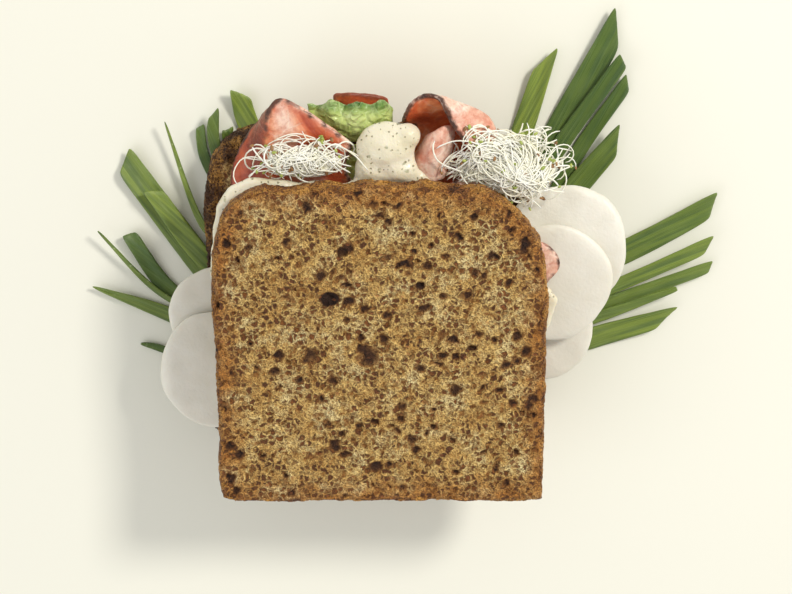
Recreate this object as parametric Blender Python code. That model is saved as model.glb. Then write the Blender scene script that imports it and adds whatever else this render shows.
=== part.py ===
"""A roast beef sandwich lying flat on a fan of leek blades, built in metres with +Z up.

The two slices of wholemeal bread lie face up, the top one a little nearer the front. Between them
lie lettuce, folded slices of beef, soft white cheese, herb mayonnaise and two tufts of sprouts.
"""

import math
import random

import bmesh
import bpy
from mathutils import Vector, noise

MM = 0.001
GAP = 0.35  # mm of air between two pieces that touch

# Bread, all in mm
SLICE_HALF_WIDTH = 57.0
SLICE_HALF_HEIGHT = 55.5
SLICE_THICKNESS = 12.4
TOP_CENTRE = (-8.5, -26.2)
BOTTOM_CENTRE = (-13.0, -12.2)
BOTTOM_Z = 2.9
TOP_Z = 35.8
CRUST_ROUNDING = 3.0
CRUST_POINTS = 64
CRUST_BUMP = 0.5
SCALLOP_HEIGHT = 2.0
BOTTOM_SEED = 3.0
TOP_SEED = 11.0

# Fillings, in mm
BEEF_THICKNESS = 2.0
LETTUCE_THICKNESS = 0.9
CHEESE_THICKNESS = 4.0
BLADE_THICKNESS = 1.1
UPPER_BLADE_Z = 1.5
MAYO_Z = 32.7
MAYO_THICKNESS = 2.7
MAYO_LEFT_DEPTH = 2.0  # how much deeper it is at the left edge

# The slice seen from above, from its lower left corner and anticlockwise, as parts of the half
# width and the half height
SLICE_OUTLINE = [
    (-0.88, -1.0), (0.0, -1.0), (0.88, -1.0), (0.955, -0.965), (0.975, -0.88), (0.98, -0.36),
    (0.99, 0.18), (0.98, 0.46), (0.93, 0.67), (0.76, 0.88), (0.53, 0.98), (0.0, 1.0),
    (-0.47, 0.985), (-0.75, 0.96), (-0.91, 0.87), (-0.985, 0.61), (-1.0, 0.32), (-0.985, 0.0),
    (-0.975, -0.45), (-0.97, -0.88), (-0.95, -0.965),
]

# The larger pores in the upper face: centre x and y, then half length and half width
PORES = [
    (-25.5, -9.5, 4.3, 3.0), (-21.5, -2.0, 3.0, 1.4), (-6.0, 5.0, 2.7, 1.5), (0.7, -0.5, 2.2, 1.4),
    (4.7, -5.0, 2.6, 1.9), (12.5, -8.5, 2.2, 1.6), (-16.0, -30.0, 1.7, 1.7), (-6.0, -30.5, 2.0, 1.6),
    (-16.0, -54.0, 2.0, 2.4), (-46.0, -56.0, 1.0, 2.4), (-30.5, -55.5, 1.0, 2.4), (-47.5, -28.0, 1.4, 2.4),
    (-40.0, -31.5, 1.6, 1.5), (-35.0, -28.0, 1.7, 1.4), (6.5, -45.5, 2.0, 1.6), (22.0, -26.0, 1.8, 1.3),
    (-5.5, -54.0, 2.0, 1.6), (-40.5, -12.5, 1.8, 1.5), (-21.0, 6.0, 2.0, 1.3), (-54.5, 0.0, 2.0, 1.5),
    (-11.5, -10.0, 1.7, 1.4), (28.0, -48.0, 1.8, 1.2), (4.0, 3.5, 1.6, 1.2), (-28.0, -40.0, 1.5, 1.8),
]
PORE_DEPTH = 0.8  # of a pore's half width
FINE_PORE = 2.1

# Cheese: centre, radius, level in its stack and how far its front edge sags
CHEESES = {
    "cheese_left_back": ((-63.5, -24.0), 19.0, 0, 0.0),
    "cheese_left_front": ((-64.0, -42.0), 22.0, 1, 2.6),
    "cheese_right_front": ((45.5, -27.5), 20.0, 0, 0.0),
    "cheese_right_back": ((54.0, 1.6), 22.7, 1, -2.6),
    "cheese_right_mid": ((50.0, -9.0), 21.0, 2, 0.0),
}

# Leek blades: inner end under the bread, foot at the crust, tip, width, layer, rise of the tip, how much
# longer the left edge is than the right one, and the width left at the tip
BLADES = {
    "leek_right_1": ((30, 14), (39, 34), (48.2, 64.5), 8.0, 0, 2.0, -11.0, 0.85),
    "leek_right_2": ((39, 8), (50.4, 33.5), (72.5, 75.5), 9.5, 0, 1.5, 13.0, 0.95),
    "leek_right_3": ((38, 6), (52.6, 32), (74.6, 64.2), 6.0, 1, 3.5, 3.0, 0.95),
    "leek_right_4": ((42, -7), (57.6, 27.0), (76.6, 56.0), 5.6, 0, 1.5, 5.0, 0.95),
    "leek_right_5": ((38, -8), (59.6, 19), (73.4, 36.8), 8.5, 1, 3.5, 11.0, 0.9),
    "leek_right_6": ((32, -24), (76.9, -5), (107.5, 13), 8.6, 0, 2.5, 8.0, 0.95),
    "leek_right_7": ((34, -31), (72.3, -17.5), (106.2, -0.7), 5.0, 1, 4.0, 7.0, 1.2),
    "leek_right_8": ((34, -35.5), (69.2, -24.3), (107.3, -9.5), 5.2, 0, 2.0, 3.5, 0.9),
    "leek_right_9": ((34, -38.5), (67.5, -28.3), (95.4, -16.8), 4.2, 1, 3.0, 0.0, 0.6),
    "leek_right_10": ((28, -49), (65.6, -36.4), (92.5, -27.8), 8.0, 0, 2.0, 11.0, 0.85),
    "leek_left_1": ((-60, -25), (-73.3, -6.5), (-97.6, 28.7), 10.0, 0, 1.5, -6.0, 0.95),
    "leek_left_2": ((-60, -18), (-73.6, -3.3), (-87.5, 18.4), 7.2, 1, 3.5, 4.0, 0.95),
    "leek_left_3": ((-58, -6), (-71.0, 5.0), (-83.1, 42.7), 2.6, 1, 3.0, 0.0, 0.35),
    "leek_left_4": ((-58, 8), (-69.4, 27.5), (-71.0, 40.7), 3.8, 0, 2.0, -1.5, 1.0),
    "leek_left_5": ((-52, 8), (-65.6, 31.5), (-66, 46), 4.4, 1, 3.5, -5.0, 1.0),
    "leek_left_6": ((-50, 11), (-61.2, 33.5), (-61.4, 39.5), 4.8, 0, 2.0, -3.5, 1.0),
    "leek_left_7": ((-43, 16), (-54.6, 41), (-56.9, 52.3), 7.6, 0, 2.5, 5.0, 0.95),
    "leek_left_8": ((-62, -31), (-86.5, -19.5), (-107.4, 3.9), 2.2, 1, 3.0, 0.0, 0.5),
    "leek_left_9": ((-60, -34), (-83, -19), (-96.6, 2.4), 6.2, 0, 2.0, 1.5, 0.95),
    "leek_left_10": ((-56, -42), (-83.6, -27.5), (-110.2, -17), 5.4, 0, 1.5, 0.0, 0.2),
    "leek_left_11": ((-54, -53), (-85.7, -40.4), (-93.8, -38), 2.8, 0, 1.0, 0.0, 0.5),
}
BLADE_TROUGH = 1.3
BLADE_CELLS = (4, 7)
NARROW_BLADE = 5.5  # and narrower, with fewer cells across
NARROW_BLADE_CELLS = (3, 7)

# Control nets of the folded sheets: each row runs across the sheet, and the rows go from front to back
BEEF_LEFT_NET = [
    [(-40, -66, 19), (-33, -67, 22), (-25, -68, 24), (-17, -67, 22), (-10, -66, 19.5)],
    [(-39, -40, 19), (-32, -40, 23), (-25, -40, 25), (-16, -40, 22), (-9, -40, 19.5)],
    [(-40, -10, 19.5), (-32, -10, 23), (-24, -10, 25), (-16, -10, 23), (-9, -10, 20)],
    [(-54, 14, 18.5), (-45, 15, 21), (-34, 16, 25), (-22, 17, 26), (-12, 17, 24)],
    [(-60, 23, 18.5), (-52, 27, 22), (-43, 31, 28), (-31, 30, 25.5), (-19, 28, 28.5)],
    [(-57, 35, 18.5), (-52, 38, 22), (-47, 42, 30.5), (-34, 37, 27), (-20, 33.5, 30.5)],
    [(-53, 41, 18.5), (-50, 43.5, 22), (-46.5, 48, 32.5), (-34.5, 43, 29.5), (-18.5, 37.5, 31)],
    [(-50.5, 44, 18.5), (-48.5, 47, 23), (-45.5, 53, 33), (-39.5, 56, 33.5), (-17.5, 40.5, 31.5)],
]
BEEF_RIGHT_NET = [
    [(0, -64, 20), (12, -66, 19.5), (22, -66, 21.5), (22, -66, 25.5), (10, -66, 27.5), (0, -65, 26.5)],
    [(0, -38, 19.5), (12, -38, 20.5), (22, -38, 21.5), (22, -38, 25.5), (11, -38, 27), (0, -38, 26)],
    [(-1, -8, 20), (11, -8, 19.5), (23, -8, 21.5), (23, -8, 25.5), (11, -8, 27.5), (0, -8, 26.5)],
    [(-1, 14, 20), (12, 15, 20.5), (26, 14, 21.5), (26, 15, 26), (15, 16, 28.5), (6, 17, 27.5)],
    [(-1, 29, 20), (13, 30, 21), (27, 31, 23), (29.5, 34, 27), (26, 33, 31), (20, 30.5, 30.5)],
    [(-1, 39, 20), (11, 40, 22), (25, 43, 24), (29.5, 46, 28), (27, 42, 33), (22.5, 37.5, 35)],
    [(-1, 45, 21), (8, 47, 22.5), (18, 50, 25), (22.5, 51.5, 29), (20, 49, 34.5), (15.5, 46.5, 36.5)],
    [(-1, 47.5, 31), (0, 52.4, 34.2), (3, 56.6, 36.2), (7, 58, 37), (10.8, 56.6, 37.2), (12.6, 53, 37.4)],
]
BEEF_WIDE_NET = [
    [(-59, -76, 27), (-40, -78, 28.5), (-20, -76.5, 30.3), (0, -78, 30.2), (22, -76, 29.8), (42, -75, 28)],
    [(-60, -54, 26.6), (-40, -54, 28.6), (-20, -54, 30.8), (0, -54, 30.8), (24, -54, 30.2), (44, -54, 28.8)],
    [(-61, -30, 27), (-40, -30, 29), (-20, -30, 31), (0, -30, 31), (24, -30, 30.2), (45, -30, 30)],
    [(-60, -18, 26.8), (-40, -18, 28.8), (-20, -18, 31), (0, -18, 31), (24, -16, 30.2), (45, -13, 30.2)],
    [(-60, -6, 26.8), (-40, -6, 28.8), (-20, -6, 31), (0, -6, 30.9), (26, -4, 30.4), (53.5, -2, 30.6)],
    [(-58, 8, 27.4), (-40, 6, 29), (-20, 5, 30.8), (2, 5, 31), (26, 6, 30.8), (47.5, 6.5, 30.2)],
]
BEEF_CURL_NET = [
    [(-0.5, 26.5, 29), (4, 27, 31), (9, 27, 31.3), (13, 28, 29.5)],
    [(1.5, 32, 28.8), (5, 33, 33.2), (10, 34, 34), (14.5, 35, 29)],
    [(4.5, 38, 29.2), (6.8, 39.5, 34.4), (12.2, 41, 35.2), (16, 41.5, 29.5)],
    [(7.5, 42.5, 30.2), (9.6, 45, 34), (13, 47, 34.2), (16, 46.5, 30)],
]
BEEF_BACK_NET = [
    [(-24, 42, 18.5), (-17, 42, 20), (-10, 42, 19), (-5, 42, 18.2)],
    [(-24.5, 49, 19), (-18, 49, 21.5), (-11.5, 49, 19.5), (-5, 48.5, 18.6)],
    [(-24.5, 55.5, 21.5), (-18, 56.2, 24), (-11.5, 55, 21), (-6, 54, 21.5)],
]
LETTUCE_NET = [
    [(-34, -63, 16.4), (-18, -64, 16.8), (-4, -64, 16.6), (10, -64, 17), (22, -62, 16.4)],
    [(-36, -35, 16.4), (-20, -35, 16.8), (-5, -35, 16.5), (9, -35, 16.9), (21, -35, 16.5)],
    [(-36, -5, 16.5), (-20, -5, 16.7), (-5, -5, 16.6), (9, -5, 16.8), (21, -5, 16.5)],
    [(-34, 22, 16.6), (-22, 22, 16.8), (-7, 22, 16.8), (5, 22, 16.7), (14, 22, 16.6)],
    [(-26, 36, 16.6), (-20, 37, 16.8), (-9, 37, 17), (-4, 37, 16.9), (-3.2, 36, 16.8)],
]
LETTUCE_FRILL_NET = [
    [(-29, 40.5, 22.5), (-21, 39.5, 23), (-14, 39, 23), (-8, 39.5, 22.6), (-4.4, 40, 22.8)],
    [(-31, 45.5, 23.5), (-23, 44.5, 26.5), (-15, 43.8, 27), (-9, 44, 26), (-4.2, 44.5, 24.5)],
    [(-32.5, 49, 24.5), (-24, 49, 29), (-16, 48.6, 29.6), (-9.5, 48.8, 29), (-4.6, 48.5, 27)],
    [(-33.5, 52, 25), (-25, 54, 28.4), (-16.5, 53.4, 29.4), (-9, 54, 28.8), (-4.4, 52, 27.4)],
]
FRILL_LENGTH = 8.5
FRILL_HEIGHT = 1.9

# Mayonnaise: where its rim swells out past the top slice, as centre, reach and amount
MAYO_SWELLS = [
    ((-55.0, 24.0), 14.0, 4.6), ((51.0, -16.0), 7.0, 8.0), ((-66.0, 0.0), 16.0, 2.8), ((-10.0, 29.0), 16.0, 1.8),
]
# Lobes of the dollop at the back: centre and radii
MAYO_LOBES = [
    ((-6.8, 39.6, 34.0), (10.4, 9.2, 4.8)), ((-10.6, 32.0, 33.6), (7.2, 8.0, 3.4)),
    ((-2.6, 31.0, 34.2), (7.2, 8.4, 3.8)), ((0.6, 43.6, 34.6), (4.8, 4.6, 3.5)), ((3.6, 29.0, 33.4), (4.4, 4.6, 2.6)),
]

# Tufts of sprouts: centre, radii of the core, how many strands lie on it and the seed
SPROUTS = {
    "sprouts_left": ((-34.0, 33.8, 33.6), (13.5, 4.6, 2.6), 7, 5),
    "sprouts_right": ((38.0, 28.5, 31.5), (11.0, 6.5, 4.6), 7, 12),
}
STRAND_RADIUS = 0.5
STRAND_SIDES = 5
STRAND_STEPS = 6
STRAND_ROOT = 1.1  # mm that a strand's ends reach into the core


def clear_scene():
    for item in list(bpy.data.objects):
        bpy.data.objects.remove(item, do_unlink=True)


def make_material(name, colour, roughness):
    material = bpy.data.materials.new(name)
    material.use_nodes = True
    shader = material.node_tree.nodes["Principled BSDF"]
    shader.inputs["Base Color"].default_value = (*colour, 1.0)
    shader.inputs["Roughness"].default_value = roughness
    shader.inputs["Metallic"].default_value = 0.0
    material.diffuse_color = (*colour, 1.0)
    return material


def add_object(name, bm, material, sharp_degrees=50.0):
    """Turns a bmesh in millimetres into an object in metres."""
    bmesh.ops.scale(bm, vec=(MM, MM, MM), verts=bm.verts)
    mesh = bpy.data.meshes.new(name)
    bm.to_mesh(mesh)
    bm.free()
    mesh.shade_smooth()
    mesh.set_sharp_from_angle(angle=math.radians(sharp_degrees))
    mesh.materials.append(material)
    item = bpy.data.objects.new(name, mesh)
    bpy.context.scene.collection.objects.link(item)
    return item


def apply_modifiers(item):
    graph = bpy.context.evaluated_depsgraph_get()
    mesh = bpy.data.meshes.new_from_object(item.evaluated_get(graph))
    item.modifiers.clear()
    item.data = mesh


def smooth(edge0, edge1, value):
    t = min(max((value - edge0) / (edge1 - edge0), 0.0), 1.0)
    return t * t * (3.0 - 2.0 * t)


def spline(points, t):
    """A point of the Catmull-Rom curve through the points, straight on past both ends."""
    spans = len(points) - 1
    place = t * spans
    span = min(max(int(math.floor(place)), 0), spans - 1)
    f = place - span
    p1, p2 = points[span], points[span + 1]
    p0 = points[span - 1] if span > 0 else 2 * p1 - p2
    p3 = points[span + 2] if span < spans - 1 else 2 * p2 - p1
    if f < 0.0:
        return p1 + (p2 - p0) * (0.5 * f)
    if f > 1.0:
        return p2 + (p3 - p1) * (0.5 * (f - 1.0))
    return 0.5 * (2 * p1 + (p2 - p0) * f + (2 * p0 - 5 * p1 + 4 * p2 - p3) * f * f
                  + (3 * p1 - p0 - 3 * p2 + p3) * f ** 3)


def slice_outline(count):
    """The slice's rim about its centre, evenly spaced, with the scallops of its top edge."""
    corners = [Vector((x * SLICE_HALF_WIDTH, y * SLICE_HALF_HEIGHT)) for x, y in SLICE_OUTLINE]
    closed = corners[-1:] + corners + corners[:2]
    first, last = 1.0 / (len(closed) - 1), 1.0 - 1.0 / (len(closed) - 1)
    fine = 40 * len(corners)
    dense = [spline(closed, first + (last - first) * i / fine) for i in range(fine + 1)]
    lengths = [0.0]
    for a, b in zip(dense, dense[1:]):
        lengths.append(lengths[-1] + (b - a).length)
    points = []
    k = 0
    for i in range(count):
        target = lengths[-1] * i / count
        while lengths[k + 1] < target:
            k += 1
        f = (target - lengths[k]) / (lengths[k + 1] - lengths[k])
        point = dense[k].lerp(dense[k + 1], f)
        top = smooth(0.8, 0.97, point.y / SLICE_HALF_HEIGHT)
        point.y += top * SCALLOP_HEIGHT * (abs(math.cos(point.x / 18.5 * math.pi + 0.5)) - 0.6)
        points.append(point)
    return points


def body_from_rings(rings):
    """A closed body: the first ring becomes a face, which is drawn through the other rings."""
    bm = bmesh.new()
    face = bm.faces.new([bm.verts.new(point) for point in rings[0]])
    for last, ring in zip(rings, rings[1:]):
        grown = bmesh.ops.extrude_face_region(bm, geom=[face])
        if last is not rings[0]:
            bmesh.ops.delete(bm, geom=[face], context="FACES_ONLY")
        face = next(part for part in grown["geom"] if isinstance(part, bmesh.types.BMFace))
        for vert in face.verts:
            here = min(range(len(last)), key=lambda i: (last[i] - vert.co).length)
            vert.co = ring[here]
    bmesh.ops.recalc_face_normals(bm, faces=bm.faces)
    return bm


def make_slice(name, centre, base, seed, material, grow=0.0):
    """A slice with a rounded, bumpy crust, larger all round by grow where it is used as a cutter."""
    outline = slice_outline(CRUST_POINTS)
    top = SLICE_THICKNESS
    heights = [(0.0, CRUST_ROUNDING), (0.8, 0.9), (3.2, 0.0), (top - 3.2, 0.0), (top - 0.8, 0.9), (top, CRUST_ROUNDING)]
    rings = []
    for height, inset in heights:
        ring = []
        for point in outline:
            bump = noise.noise(Vector((point.x * 0.11 + seed, point.y * 0.11, height * 0.12))) * CRUST_BUMP * 2
            radius = point.length
            place = point * ((radius - inset + bump + grow) / radius)
            lift = grow * (2 * height / top - 1.0)
            ring.append(Vector((place.x + centre[0], place.y + centre[1], base + height + lift)))
        rings.append(ring)
    return add_object(name, body_from_rings(rings), material, 60.0)


def cut_pores(bread, face_z):
    """Sinks the larger pores into the upper face."""
    cutters = bpy.data.collections.new("pore_cutters")
    for x, y, half_length, half_width in PORES:
        bm = bmesh.new()
        fine = 2 if half_length > FINE_PORE else 1
        bmesh.ops.create_icosphere(bm, subdivisions=fine, radius=1.0)
        depth = PORE_DEPTH * min(half_length, half_width) + 0.4
        bmesh.ops.scale(bm, vec=(half_length, half_width, depth), verts=bm.verts)
        bmesh.ops.translate(bm, vec=(x, y, face_z + 0.23 * depth), verts=bm.verts)
        cutter = add_object("pore_cutter", bm, bread.data.materials[0])
        bpy.context.scene.collection.objects.unlink(cutter)
        cutters.objects.link(cutter)
    bpy.context.scene.collection.children.link(cutters)
    cut = bread.modifiers.new("pores", "BOOLEAN")
    cut.operation = "DIFFERENCE"
    cut.operand_type = "COLLECTION"
    cut.collection = cutters
    apply_modifiers(bread)
    remove_collection(cutters)


def remove_collection(group):
    for item in list(group.objects):
        bpy.data.objects.remove(item, do_unlink=True)
    bpy.data.collections.remove(group)


def make_cheese(name, centre, radius, level, sag, seed, material):
    """A soft disc with a rounded rim, uneven in outline, whose front or back edge may sag."""
    bm = bmesh.new()
    bmesh.ops.create_uvsphere(bm, u_segments=24, v_segments=6, radius=1.0)
    base = BOTTOM_Z + SLICE_THICKNESS + GAP + level * (CHEESE_THICKNESS + GAP)
    for vert in bm.verts:
        flat = math.hypot(vert.co.x, vert.co.y)
        around = math.atan2(vert.co.y, vert.co.x)
        lobes = 1.0 + 0.022 * math.sin(3 * around + seed) + 0.014 * math.sin(5 * around + 2 * seed)
        reach = radius * flat ** 0.3 * lobes if flat > 0.0001 else 0.0
        x, y = reach * math.cos(around), reach * math.sin(around)
        height = math.copysign(abs(vert.co.z) ** 0.75, vert.co.z) * CHEESE_THICKNESS / 2
        fall = smooth(0.0, radius, -y) * sag if sag > 0 else smooth(radius * 0.2, radius, y) * -sag
        vert.co = (x + centre[0], y + centre[1], base + CHEESE_THICKNESS / 2 + height - fall)
    return add_object(name, bm, material, 60.0)


def grid_sheet(cells, place, overshoot=0.0):
    """A grid mapped by a function of u across and v along, its faces split into triangles."""
    bm = bmesh.new()
    bmesh.ops.create_grid(bm, x_segments=cells[0], y_segments=cells[1], size=0.5)
    for vert in bm.verts:
        u = (vert.co.x + 0.5) * (1.0 + 2 * overshoot) - overshoot
        v = (vert.co.y + 0.5) * (1.0 + 2 * overshoot) - overshoot
        vert.co = place(u, v)
    bmesh.ops.triangulate(bm, faces=bm.faces)
    return bm


def thicken(item, thickness, offset):
    shell = item.modifiers.new("thickness", "SOLIDIFY")
    shell.thickness = thickness * MM
    shell.offset = offset
    apply_modifiers(item)


def make_blade(name, inner, foot, tip, width, layer, rise, skew, tip_width, material):
    """A flat blade with a shallow trough, flat on the ground under the bread."""
    route = [Vector(inner), Vector(foot), Vector(tip)]
    hidden = (route[1] - route[0]).length
    shown = (route[2] - route[1]).length
    base = UPPER_BLADE_Z * layer

    def place(u, v):
        side = 2.0 * u - 1.0
        along = v * (hidden + shown - skew * side / 2)
        t = 0.5 * along / hidden if along < hidden else 0.5 + 0.5 * (along - hidden) / shown
        centre = spline(route, t)
        ahead = (spline(route, t + 0.01) - spline(route, t - 0.01)).normalized()
        right = Vector((ahead.y, -ahead.x))
        out = max(along - hidden, 0.0) / shown
        half = 0.5 * width * (0.75 + 0.25 * smooth(0.0, hidden, along)) * (1.0 + (tip_width - 1.0) * out ** 1.6)
        spread = centre + right * (half * side)
        lift = rise * out ** 1.5 + BLADE_TROUGH * abs(side) ** 1.3 * smooth(0.1, 0.7, out) * min(width / 8.0, 1.0)
        return Vector((spread.x, spread.y, base + lift))

    cells = NARROW_BLADE_CELLS if width <= NARROW_BLADE else BLADE_CELLS
    item = add_object(name, grid_sheet(cells, place), material, 35.0)
    thicken(item, BLADE_THICKNESS, 1.0)
    return item


def net_sheet(name, net, thickness, cells, material, overshoot=0.0, ruffle=0.0, frill=0.0):
    """A sheet through a net of points, with a fine ruffle and a frilled back edge of these heights in mm."""
    rows = [[Vector(point) for point in row] for row in net]

    def place(u, v):
        point = spline([spline(row, u) for row in rows], v)
        wave = math.sin(point.x * 0.9 + point.y * 0.35) * math.cos(point.y * 0.55 - point.x * 0.2)
        turn = 2 * math.pi * point.x / FRILL_LENGTH
        edge = frill * smooth(0.45, 1.0, v)
        return point + Vector((0.0, 0.6 * edge * math.sin(turn + 1.0), ruffle * wave + edge * math.cos(turn)))

    item = add_object(name, grid_sheet(cells, place, overshoot), material, 60.0)
    thicken(item, thickness, 0.0)
    return item


def mayo_rim(height_part):
    """The rim of the mayonnaise at a part of its height, about the top slice's centre."""
    ring = []
    inset = 1.6 + 1.4 * (2 * height_part - 1.0) ** 2
    for point in slice_outline(56):
        world = Vector((point.x + TOP_CENTRE[0], point.y + TOP_CENTRE[1]))
        swell = sum(amount * math.exp(-((world - Vector(spot)).length / reach) ** 2)
                    for spot, reach, amount in MAYO_SWELLS)
        wobble = 0.6 * noise.noise(Vector((world.x * 0.09, world.y * 0.09, 7.0)))
        place = point * ((point.length - inset + swell + wobble) / point.length)
        deeper = MAYO_LEFT_DEPTH * smooth(10.0, 55.0, -world.x) * (1.0 - height_part)
        height = MAYO_Z + height_part * MAYO_THICKNESS - deeper
        ring.append(Vector((place.x + TOP_CENTRE[0], place.y + TOP_CENTRE[1], height)))
    return ring


def subtract(item, cutter):
    """Cuts a grown copy of a neighbour out of the item, and removes that copy."""
    cutter.hide_render = True
    cutter.display_type = "WIRE"
    cut = item.modifiers.new("clearance", "BOOLEAN")
    cut.operation = "DIFFERENCE"
    cut.object = cutter
    apply_modifiers(item)
    bpy.data.objects.remove(cutter, do_unlink=True)


def fuse(item, group):
    """Joins every object of the collection to the item."""
    bpy.context.scene.collection.children.link(group)
    join = item.modifiers.new("join", "BOOLEAN")
    join.operation = "UNION"
    join.operand_type = "COLLECTION"
    join.collection = group
    apply_modifiers(item)
    remove_collection(group)


def keep_largest(item):
    """Drops the loose scraps that a cut leaves beside the piece."""
    bm = bmesh.new()
    bm.from_mesh(item.data)
    left = set(bm.faces)
    islands = []
    while left:
        island = set()
        reach = [left.pop()]
        while reach:
            face = reach.pop()
            island.add(face)
            for edge in face.edges:
                for other in edge.link_faces:
                    if other in left:
                        left.remove(other)
                        reach.append(other)
        islands.append(island)
    largest = max(islands, key=lambda island: sum(face.calc_area() for face in island))
    bmesh.ops.delete(bm, geom=[face for face in bm.faces if face not in largest], context="FACES")
    bm.to_mesh(item.data)
    bm.free()


def ellipsoid(name, centre, radii, material, detail=(14, 7)):
    bm = bmesh.new()
    bmesh.ops.create_uvsphere(bm, u_segments=detail[0], v_segments=detail[1], radius=1.0)
    bmesh.ops.scale(bm, vec=radii, verts=bm.verts)
    bmesh.ops.translate(bm, vec=centre, verts=bm.verts)
    return add_object(name, bm, material)


def move_to(item, group):
    bpy.context.scene.collection.objects.unlink(item)
    group.objects.link(item)


def make_strand(points, material):
    """A thin closed tube along the points."""
    rings = []
    for i, point in enumerate(points):
        ahead = (points[min(i + 1, len(points) - 1)] - points[max(i - 1, 0)]).normalized()
        across = ahead.cross(Vector((0.0, 0.0, 1.0))).normalized()
        up = across.cross(ahead)
        turns = [2 * math.pi * k / STRAND_SIDES for k in range(STRAND_SIDES)]
        rings.append([point + STRAND_RADIUS * (across * math.cos(a) + up * math.sin(a)) for a in turns])
    return add_object("strand", body_from_rings(rings), material)


def make_sprouts(name, centre, radii, strands, seed, material):
    """A tuft: a low core with strands that bow over it side by side."""
    rng = random.Random(seed)
    core = ellipsoid(name, centre, radii, material, (14, 6))
    group = bpy.data.collections.new(name + "_strands")
    for number in range(strands):
        across = 1.6 * (number + 0.5) / strands - 0.8
        reach = math.sqrt(1.0 - across * across) * 0.8 * radii[1]
        start = Vector((across * radii[0], -reach))
        finish = Vector(((across + rng.uniform(-0.05, 0.05)) * radii[0], reach))
        crown = rng.uniform(0.9, 1.8)
        points = []
        for k in range(STRAND_STEPS + 1):
            f = k / STRAND_STEPS
            flat = start.lerp(finish, f)
            dome = math.sqrt(max(1.0 - (flat.x / radii[0]) ** 2 - (flat.y / radii[1]) ** 2, 0.0)) * radii[2]
            bow = (crown + STRAND_ROOT) * math.sin(math.pi * f) - STRAND_ROOT
            points.append(Vector((flat.x + centre[0], flat.y + centre[1], centre[2] + dome + bow)))
        move_to(make_strand(points, material), group)
    fuse(core, group)
    keep_largest(core)
    return core


def build():
    clear_scene()
    bread = make_material("wholemeal_bread", (0.42, 0.23, 0.08), 0.85)
    white = make_material("soft_cheese", (0.86, 0.85, 0.82), 0.42)
    meat = make_material("roast_beef", (0.62, 0.22, 0.15), 0.45)
    salad = make_material("lettuce", (0.25, 0.42, 0.08), 0.4)
    leek = make_material("leek_leaf", (0.10, 0.24, 0.05), 0.35)
    cream = make_material("herb_mayonnaise", (0.82, 0.76, 0.60), 0.4)
    sprout = make_material("sprout", (0.86, 0.85, 0.74), 0.4)

    make_slice("bread_bottom", BOTTOM_CENTRE, BOTTOM_Z, BOTTOM_SEED, bread)
    top = make_slice("bread_top", TOP_CENTRE, TOP_Z, TOP_SEED, bread)
    cut_pores(top, TOP_Z + SLICE_THICKNESS)
    for number, (name, (centre, radius, level, sag)) in enumerate(CHEESES.items()):
        make_cheese(name, centre, radius, level, sag, number * 1.7, white)
    for name, sizes in BLADES.items():
        make_blade(name, *sizes, leek)

    sheets = {
        "beef_left": (BEEF_LEFT_NET, BEEF_THICKNESS, (10, 14), meat, 0.2, 0.0),
        "beef_right": (BEEF_RIGHT_NET, BEEF_THICKNESS, (12, 14), meat, 0.15, 0.0),
        "beef_wide": (BEEF_WIDE_NET, 1.4, (12, 9), meat, 0.15, 0.0),
        "beef_curl": (BEEF_CURL_NET, BEEF_THICKNESS, (6, 6), meat, 0.0, 0.0),
        "beef_back": (BEEF_BACK_NET, 1.6, (6, 5), meat, 0.2, 0.0),
        "lettuce": (LETTUCE_NET, LETTUCE_THICKNESS, (9, 11), salad, 0.35, 0.0),
        "lettuce_frill": (LETTUCE_FRILL_NET, LETTUCE_THICKNESS, (20, 8), salad, 0.3, FRILL_HEIGHT),
    }
    for name, (net, thickness, cells, material, ruffle, frill) in sheets.items():
        net_sheet(name, net, thickness, cells, material, 0.0, ruffle, frill)

    mayo = add_object("mayonnaise", body_from_rings([mayo_rim(part) for part in (0.0, 0.3, 0.7, 1.0)]), cream, 60.0)
    lobes = bpy.data.collections.new("mayo_lobes")
    for centre, radii in MAYO_LOBES:
        move_to(ellipsoid("lobe", centre, radii, cream), lobes)
    fuse(mayo, lobes)
    subtract(mayo, make_slice("bread_clearance", TOP_CENTRE, TOP_Z, TOP_SEED, bread, GAP))
    for name in ("beef_left", "beef_curl", "beef_right", "lettuce_frill"):
        net, thickness, cells, material, ruffle, frill = sheets[name]
        grown = net_sheet(name + "_clearance", net, thickness + 2 * GAP, cells, material, 0.03, ruffle, frill)
        subtract(mayo, grown)
    keep_largest(mayo)

    for name, (centre, radii, strands, seed) in SPROUTS.items():
        make_sprouts(name, centre, radii, strands, seed, sprout)


build()
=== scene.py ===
"""The looks of a roast beef sandwich that lies on a fan of leek blades."""

import math
import random

import bmesh
import bpy
from mathutils import Euler, Matrix, Vector, noise
from mathutils.bvhtree import BVHTree
from mathutils.kdtree import KDTree


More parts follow.
